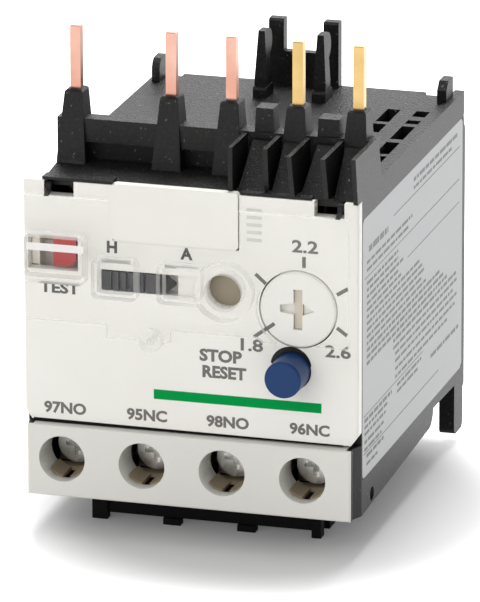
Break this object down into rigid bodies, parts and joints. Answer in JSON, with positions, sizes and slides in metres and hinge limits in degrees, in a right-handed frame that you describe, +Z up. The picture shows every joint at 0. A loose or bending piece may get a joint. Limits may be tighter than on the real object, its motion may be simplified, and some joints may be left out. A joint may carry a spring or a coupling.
{
  "type": "thermal overload relay",
  "caption": "Plug-in motor overload relay: black housing with a row of plug pins on top, white front with a setting dial, reset button and clear hinged cover, and a strip of screw terminals.",
  "frame": {"origin": "middle of the footprint of the whole relay, on the plane of the lower terminal block's ribs that it stands on", "axes": "+X to the right as seen from the front, +Y to the rear, +Z up along the plug pins"},
  "size_m": [0.045, 0.0584, 0.0663],
  "materials": {
    "black_plastic": "fine-grained moulded plastic",
    "white_plastic": "satin moulded plastic",
    "clear_plastic": "clear moulded polycarbonate",
    "label": "printed foil label",
    "tan_plastic": "matte moulded plastic",
    "beige_plastic": "matte moulded plastic",
    "dial_plastic": "satin moulded plastic",
    "grey_plastic": "satin moulded plastic",
    "red_plastic": "satin moulded plastic",
    "blue_plastic": "glossy moulded plastic",
    "copper": "drawn copper",
    "brass": "drawn brass",
    "plated_steel": "zinc-plated steel",
    "bimetal": "rolled bimetal strip",
    "resistance_alloy": "heat-darkened resistance alloy"
  },
  "bodies": {
    "housing": {"back_cover": "black_plastic", "base_housing": "black_plastic", "bimetal_1": "bimetal", "bimetal_2": "bimetal", "bimetal_3": "bimetal", "contact_post_1": "brass", "contact_post_2": "brass", "fascia_plate": "white_plastic", "guide_plate": "beige_plastic", "heater_winding_1": "resistance_alloy", "heater_winding_2": "resistance_alloy", "heater_winding_3": "resistance_alloy", "id_plate": "white_plastic", "link_pin_4": "brass", "link_pin_5": "brass", "mechanism_frame": "tan_plastic", "nc_fixed_contact": "brass", "no_fixed_contact": "brass", "output_terminal_1": "brass", "output_terminal_2": "brass", "output_terminal_3": "brass", "plug_pin_1": "copper", "plug_pin_2": "copper", "plug_pin_3": "copper", "power_terminal_block": "black_plastic", "recess_plug": "beige_plastic", "reset_spring": "plated_steel", "side_label": "label", "terminal_strip": "white_plastic", "trip_pin": "plated_steel"},
    "cover": {"clear_cover": "clear_plastic"},
    "reset": {"reset_button": "blue_plastic"},
    "dial": {"adjusting_dial": "dial_plastic", "dial_cam": "beige_plastic"},
    "selector": {"selector_slide": "grey_plastic"},
    "tester": {"test_slide": "red_plastic"},
    "trip": {"trip_lever": "beige_plastic"},
    "nc_blade": {"nc_moving_contact": "brass"},
    "no_blade": {"no_moving_contact": "brass"},
    "setting": {"setting_slide": "beige_plastic"},
    "compensator": {"compensating_lever": "bimetal"},
    "pusher": {"push_slide": "beige_plastic"},
    "differential": {"differential_slide": "beige_plastic"},
    "tilt": {"differential_lever": "plated_steel"},
    "power_saddle_1": {"power_saddle_1": "plated_steel"},
    "power_screw_1": {"power_screw_1": "plated_steel"},
    "power_saddle_2": {"power_saddle_2": "plated_steel"},
    "power_screw_2": {"power_screw_2": "plated_steel"},
    "power_saddle_3": {"power_saddle_3": "plated_steel"},
    "power_screw_3": {"power_screw_3": "plated_steel"},
    "aux_saddle_1": {"aux_saddle_1": "plated_steel"},
    "aux_screw_1": {"aux_screw_1": "plated_steel"},
    "aux_saddle_2": {"aux_saddle_2": "plated_steel"},
    "aux_screw_2": {"aux_screw_2": "plated_steel"},
    "aux_saddle_3": {"aux_saddle_3": "plated_steel"},
    "aux_screw_3": {"aux_screw_3": "plated_steel"},
    "aux_saddle_4": {"aux_saddle_4": "plated_steel"},
    "aux_screw_4": {"aux_screw_4": "plated_steel"}
  },
  "joints": [
    {"name": "cover_hinge", "type": "hinge", "parent": "housing", "child": "cover", "pos_m": [0, -0.02415, 0.04712], "axis": [-1, 0, 0], "range_deg": [0, 90]},
    {"name": "reset_press", "type": "slide", "parent": "housing", "child": "reset", "axis": [0, -1, 0], "range_m": [-0.0024, 0], "stiffness_N_per_m": 400, "springref_m": 0.001, "deforming": ["reset_spring"]},
    {"name": "dial_turn", "type": "hinge", "parent": "housing", "child": "dial", "pos_m": [0.01448, -0.0247, 0.03329], "axis": [0, 1, 0], "range_deg": [0, 240.2]},
    {"name": "selector_move", "type": "slide", "parent": "housing", "child": "selector", "axis": [1, 0, 0], "range_m": [0, 0.0026]},
    {"name": "trip_pivot", "type": "hinge", "parent": "housing", "child": "trip", "pos_m": [0.008, -0.0101, 0.03], "axis": [0, 0, -1], "range_deg": [0, 16.1]},
    {"name": "test_move", "type": "slide", "parent": "housing", "child": "tester", "axis": [-1, 0, 0], "range_m": [0, 0.0028]},
    {"name": "nc_blade_pivot", "type": "hinge", "parent": "housing", "child": "nc_blade", "pos_m": [-0.0085, -0.013, 0.0295], "axis": [0, 0, 1], "range_deg": [0, 4.6]},
    {"name": "no_blade_pivot", "type": "hinge", "parent": "housing", "child": "no_blade", "pos_m": [-0.0175, -0.013, 0.021], "axis": [0, 0, 1], "range_deg": [0, 2.7]},
    {"name": "setting_move", "type": "slide", "parent": "housing", "child": "setting", "axis": [1, 0, 0], "range_m": [0, 0.0016]},
    {"name": "compensator_pivot", "type": "hinge", "parent": "setting", "child": "compensator", "pos_m": [0.0166, -0.0089, 0.04], "axis": [0, 0, -1], "range_deg": [0, 8.2]},
    {"name": "bimetal_push", "type": "slide", "parent": "housing", "child": "pusher", "axis": [1, 0, 0], "range_m": [0, 0.0012]},
    {"name": "phase_lag", "type": "slide", "parent": "pusher", "child": "differential", "axis": [-1, 0, 0], "range_m": [0, 0.0006]},
    {"name": "differential_tilt", "type": "hinge", "parent": "differential", "child": "tilt", "pos_m": [0.015, 0.0069, 0.0415], "axis": [0, 0, 1], "range_deg": [0, 7.9]},
    {"name": "power_saddle_1_move", "type": "slide", "parent": "housing", "child": "power_saddle_1", "axis": [0, 0, 1], "range_m": [0, 0.0035]},
    {"name": "power_screw_1_turn", "type": "hinge", "parent": "power_saddle_1", "child": "power_screw_1", "pos_m": [-0.00985, -0.0067, 0.003], "axis": [0, 0, 1], "range_deg": [0, 1801]},
    {"name": "power_saddle_2_move", "type": "slide", "parent": "housing", "child": "power_saddle_2", "axis": [0, 0, 1], "range_m": [0, 0.0035]},
    {"name": "power_screw_2_turn", "type": "hinge", "parent": "power_saddle_2", "child": "power_screw_2", "pos_m": [0.00035, -0.0067, 0.003], "axis": [0, 0, 1], "range_deg": [0, 1801]},
    {"name": "power_saddle_3_move", "type": "slide", "parent": "housing", "child": "power_saddle_3", "axis": [0, 0, 1], "range_m": [0, 0.0035]},
    {"name": "power_screw_3_turn", "type": "hinge", "parent": "power_saddle_3", "child": "power_screw_3", "pos_m": [0.01055, -0.0067, 0.003], "axis": [0, 0, 1], "range_deg": [0, 1801]},
    {"name": "aux_saddle_1_move", "type": "slide", "parent": "housing", "child": "aux_saddle_1", "axis": [0, 1, 0], "range_m": [0, 0.002]},
    {"name": "aux_screw_1_turn", "type": "hinge", "parent": "aux_saddle_1", "child": "aux_screw_1", "pos_m": [-0.01708, -0.0187, 0.01066], "axis": [0, 1, 0], "range_deg": [0, 1441]},
    {"name": "aux_saddle_2_move", "type": "slide", "parent": "housing", "child": "aux_saddle_2", "axis": [0, 1, 0], "range_m": [0, 0.002]},
    {"name": "aux_screw_2_turn", "type": "hinge", "parent": "aux_saddle_2", "child": "aux_screw_2", "pos_m": [-0.00626, -0.0187, 0.01066], "axis": [0, 1, 0], "range_deg": [0, 1441]},
    {"name": "aux_saddle_3_move", "type": "slide", "parent": "housing", "child": "aux_saddle_3", "axis": [0, 1, 0], "range_m": [0, 0.002]},
    {"name": "aux_screw_3_turn", "type": "hinge", "parent": "aux_saddle_3", "child": "aux_screw_3", "pos_m": [0.00456, -0.0187, 0.01066], "axis": [0, 1, 0], "range_deg": [0, 1441]},
    {"name": "aux_saddle_4_move", "type": "slide", "parent": "housing", "child": "aux_saddle_4", "axis": [0, 1, 0], "range_m": [0, 0.002]},
    {"name": "aux_screw_4_turn", "type": "hinge", "parent": "aux_saddle_4", "child": "aux_screw_4", "pos_m": [0.01538, -0.0187, 0.01066], "axis": [0, 1, 0], "range_deg": [0, 1441]}
  ],
  "couplings": [
    {"joint": "trip_pivot", "follows": "test_move", "rad_per_m": 99.4},
    {"joint": "nc_blade_pivot", "follows": "test_move", "rad_per_m": 27.93},
    {"joint": "no_blade_pivot", "follows": "test_move", "rad_per_m": 16},
    {"joint": "dial_turn", "follows": "setting_move", "rad_per_m": 2618},
    {"joint": "compensator_pivot", "follows": "bimetal_push", "rad_per_m": 117.6},
    {"joint": "differential_tilt", "follows": "phase_lag", "rad_per_m": 227.27},
    {"joint": "power_screw_1_turn", "follows": "power_saddle_1_move", "rad_per_m": 8976},
    {"joint": "power_screw_2_turn", "follows": "power_saddle_2_move", "rad_per_m": 8976},
    {"joint": "power_screw_3_turn", "follows": "power_saddle_3_move", "rad_per_m": 8976},
    {"joint": "aux_screw_1_turn", "follows": "aux_saddle_1_move", "rad_per_m": 12566},
    {"joint": "aux_screw_2_turn", "follows": "aux_saddle_2_move", "rad_per_m": 12566},
    {"joint": "aux_screw_3_turn", "follows": "aux_saddle_3_move", "rad_per_m": 12566},
    {"joint": "aux_screw_4_turn", "follows": "aux_saddle_4_move", "rad_per_m": 12566}
  ]
}
